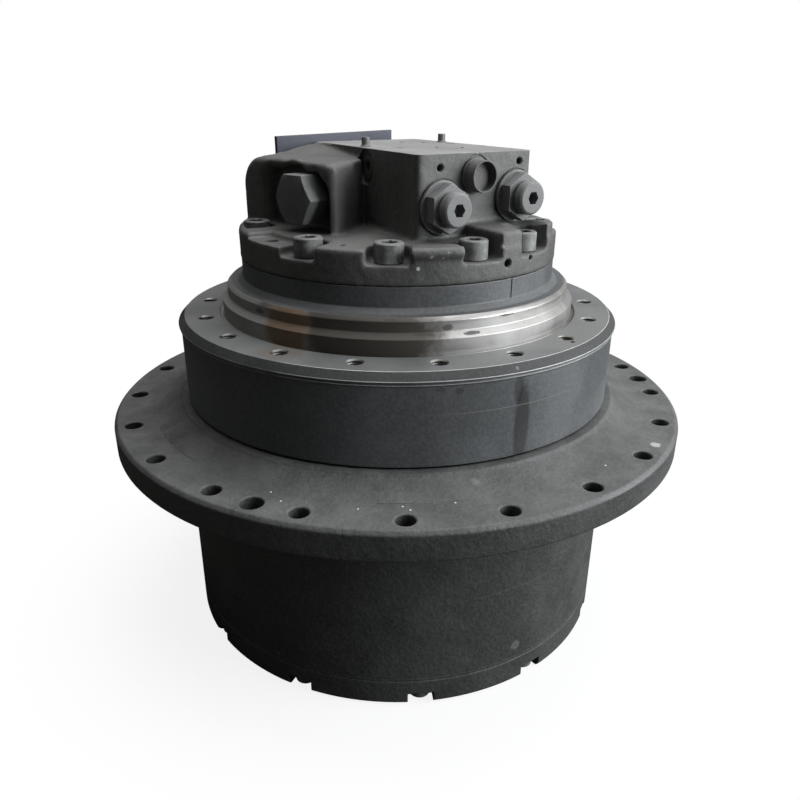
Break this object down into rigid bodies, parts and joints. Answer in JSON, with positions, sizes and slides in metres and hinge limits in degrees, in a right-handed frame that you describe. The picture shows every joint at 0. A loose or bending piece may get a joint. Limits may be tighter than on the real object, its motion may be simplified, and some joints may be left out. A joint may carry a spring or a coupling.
{
  "type": "excavator final drive",
  "caption": "Hydraulic track final drive: a wheel hub with a sprocket flange turns on a fixed spindle through planetary gears and an axial piston motor under a cast valve cover.",
  "frame": {"origin": "on the drive's axis, in the plane of the gear cover's outer face that the part stands on", "axes": "+Z along the drive's axis from the gear cover towards the motor cover; -Y towards the viewer of the picture"},
  "size_m": [0.62, 0.62, 0.5215],
  "materials": {
    "hub_paint": "dark charcoal satin paint on cast iron",
    "spindle_paint": "dark charcoal satin paint on cast iron",
    "valve_paint": "blue-grey satin paint over a fine cast surface",
    "plate_paint": "flat blue-violet paint on sheet steel",
    "bolt_steel": "dark phosphated steel, partly painted over",
    "bright_steel": "bright ground steel",
    "gear_steel": "hardened gear steel",
    "cast_steel": "machined nodular iron",
    "bronze": "bearing bronze",
    "friction": "sintered brake lining",
    "rubber": "moulded oil seal rubber"
  },
  "bodies": {
    "fixed_body": {"spindle": "spindle_paint", "motor_cover": "valve_paint", "motor_cover_bolt_01": "bolt_steel", "motor_cover_bolt_02": "bolt_steel", "motor_cover_bolt_03": "bolt_steel", "motor_cover_bolt_04": "bolt_steel", "motor_cover_bolt_05": "bolt_steel", "motor_cover_bolt_06": "bolt_steel", "motor_cover_bolt_07": "bolt_steel", "motor_cover_bolt_08": "bolt_steel", "motor_cover_bolt_09": "bolt_steel", "motor_cover_bolt_10": "bolt_steel", "relief_valve_left": "valve_paint", "relief_valve_right": "valve_paint", "port_cap": "valve_paint", "socket_plug": "valve_paint", "counterbalance_plug": "valve_paint", "port_plate": "plate_paint", "dowel_pin_front": "bolt_steel", "dowel_pin_back": "bolt_steel", "seal_ring_static": "bright_steel", "main_bearing_upper_inner_race": "bright_steel", "main_bearing_lower_inner_race": "bright_steel", "second_stage_carrier": "cast_steel", "shaft_bearing_front": "bright_steel", "shaft_bearing_rear": "bright_steel", "shaft_seal": "rubber", "swash_cradle": "bronze", "valve_plate": "bronze", "brake_plate_1": "gear_steel", "brake_plate_2": "gear_steel", "brake_disc_spring": "gear_steel"},
    "hub_body": {"hub": "hub_paint", "gear_housing": "hub_paint", "gear_cover": "hub_paint", "drain_plug": "bolt_steel", "level_plug": "bolt_steel", "thrust_button": "bronze", "seal_ring_rotating": "bright_steel", "main_bearing_upper_outer_race": "bright_steel", "main_bearing_lower_outer_race": "bright_steel"},
    "first_stage_body": {"first_stage_carrier": "cast_steel", "sun_gear_2": "gear_steel"},
    "motor_body": {"drive_shaft": "bright_steel", "sun_gear_1": "gear_steel", "cylinder_block": "gear_steel", "piston_set": "bright_steel", "brake_disc_1": "friction", "brake_disc_2": "friction"},
    "planet_2_1_body": {"planet_gear_2_1": "gear_steel"},
    "planet_2_2_body": {"planet_gear_2_2": "gear_steel"},
    "planet_2_3_body": {"planet_gear_2_3": "gear_steel"},
    "planet_1_1_body": {"planet_gear_1_1": "gear_steel"},
    "planet_1_2_body": {"planet_gear_1_2": "gear_steel"},
    "planet_1_3_body": {"planet_gear_1_3": "gear_steel"},
    "upper_cage_body": {"main_bearing_upper_rollers": "gear_steel"},
    "lower_cage_body": {"main_bearing_lower_rollers": "gear_steel"},
    "swash_body": {"swash_plate": "gear_steel"},
    "brake_piston_body": {"brake_piston": "cast_steel"},
    "spool_body": {"counterbalance_spool": "bright_steel"}
  },
  "joints": [
    {"name": "hub_spin", "type": "hinge", "parent": "fixed_body", "child": "hub_body", "pos_m": [0, 0, 0], "axis": [0, 0, 1], "continuous": true},
    {"name": "first_stage_spin", "type": "hinge", "parent": "fixed_body", "child": "first_stage_body", "pos_m": [0, 0, 0], "axis": [0, 0, 1], "continuous": true},
    {"name": "motor_spin", "type": "hinge", "parent": "fixed_body", "child": "motor_body", "pos_m": [0, 0, 0], "axis": [0, 0, 1], "continuous": true},
    {"name": "planet_2_1_spin", "type": "hinge", "parent": "fixed_body", "child": "planet_2_1_body", "pos_m": [0, 0.1287, 0], "axis": [0, 0, 1], "continuous": true},
    {"name": "planet_2_2_spin", "type": "hinge", "parent": "fixed_body", "child": "planet_2_2_body", "pos_m": [-0.11146, -0.06435, 0], "axis": [0, 0, 1], "continuous": true},
    {"name": "planet_2_3_spin", "type": "hinge", "parent": "fixed_body", "child": "planet_2_3_body", "pos_m": [0.11146, -0.06435, 0], "axis": [0, 0, 1], "continuous": true},
    {"name": "planet_1_1_spin", "type": "hinge", "parent": "first_stage_body", "child": "planet_1_1_body", "pos_m": [0, 0.1188, 0], "axis": [0, 0, 1], "continuous": true},
    {"name": "planet_1_2_spin", "type": "hinge", "parent": "first_stage_body", "child": "planet_1_2_body", "pos_m": [-0.10288, -0.0594, 0], "axis": [0, 0, 1], "continuous": true},
    {"name": "planet_1_3_spin", "type": "hinge", "parent": "first_stage_body", "child": "planet_1_3_body", "pos_m": [0.10288, -0.0594, 0], "axis": [0, 0, 1], "continuous": true},
    {"name": "upper_cage_spin", "type": "hinge", "parent": "fixed_body", "child": "upper_cage_body", "pos_m": [0, 0, 0], "axis": [0, 0, 1], "continuous": true},
    {"name": "lower_cage_spin", "type": "hinge", "parent": "fixed_body", "child": "lower_cage_body", "pos_m": [0, 0, 0], "axis": [0, 0, 1], "continuous": true},
    {"name": "swash_tilt", "type": "hinge", "parent": "fixed_body", "child": "swash_body", "pos_m": [0, 0, 0.2814], "axis": [1, 0, 0], "range_deg": [0, 8]},
    {"name": "brake_piston_slide", "type": "slide", "parent": "fixed_body", "child": "brake_piston_body", "axis": [0, 0, 1], "range_m": [0, 0.0015]},
    {"name": "spool_slide", "type": "slide", "parent": "fixed_body", "child": "spool_body", "axis": [-0.682, -0.7314, 0], "range_m": [-0.005, 0.005]}
  ],
  "couplings": [
    {"joint": "first_stage_spin", "follows": "hub_spin", "ratio": -3.3333},
    {"joint": "motor_spin", "follows": "hub_spin", "ratio": -25},
    {"joint": "planet_2_1_spin", "follows": "hub_spin", "ratio": 2.8571},
    {"joint": "planet_2_2_spin", "follows": "hub_spin", "ratio": 2.8571},
    {"joint": "planet_2_3_spin", "follows": "hub_spin", "ratio": 2.8571},
    {"joint": "planet_1_1_spin", "follows": "hub_spin", "ratio": 10.833},
    {"joint": "planet_1_2_spin", "follows": "hub_spin", "ratio": 10.833},
    {"joint": "planet_1_3_spin", "follows": "hub_spin", "ratio": 10.833},
    {"joint": "upper_cage_spin", "follows": "hub_spin", "ratio": 0.527},
    {"joint": "lower_cage_spin", "follows": "hub_spin", "ratio": 0.527}
  ]
}
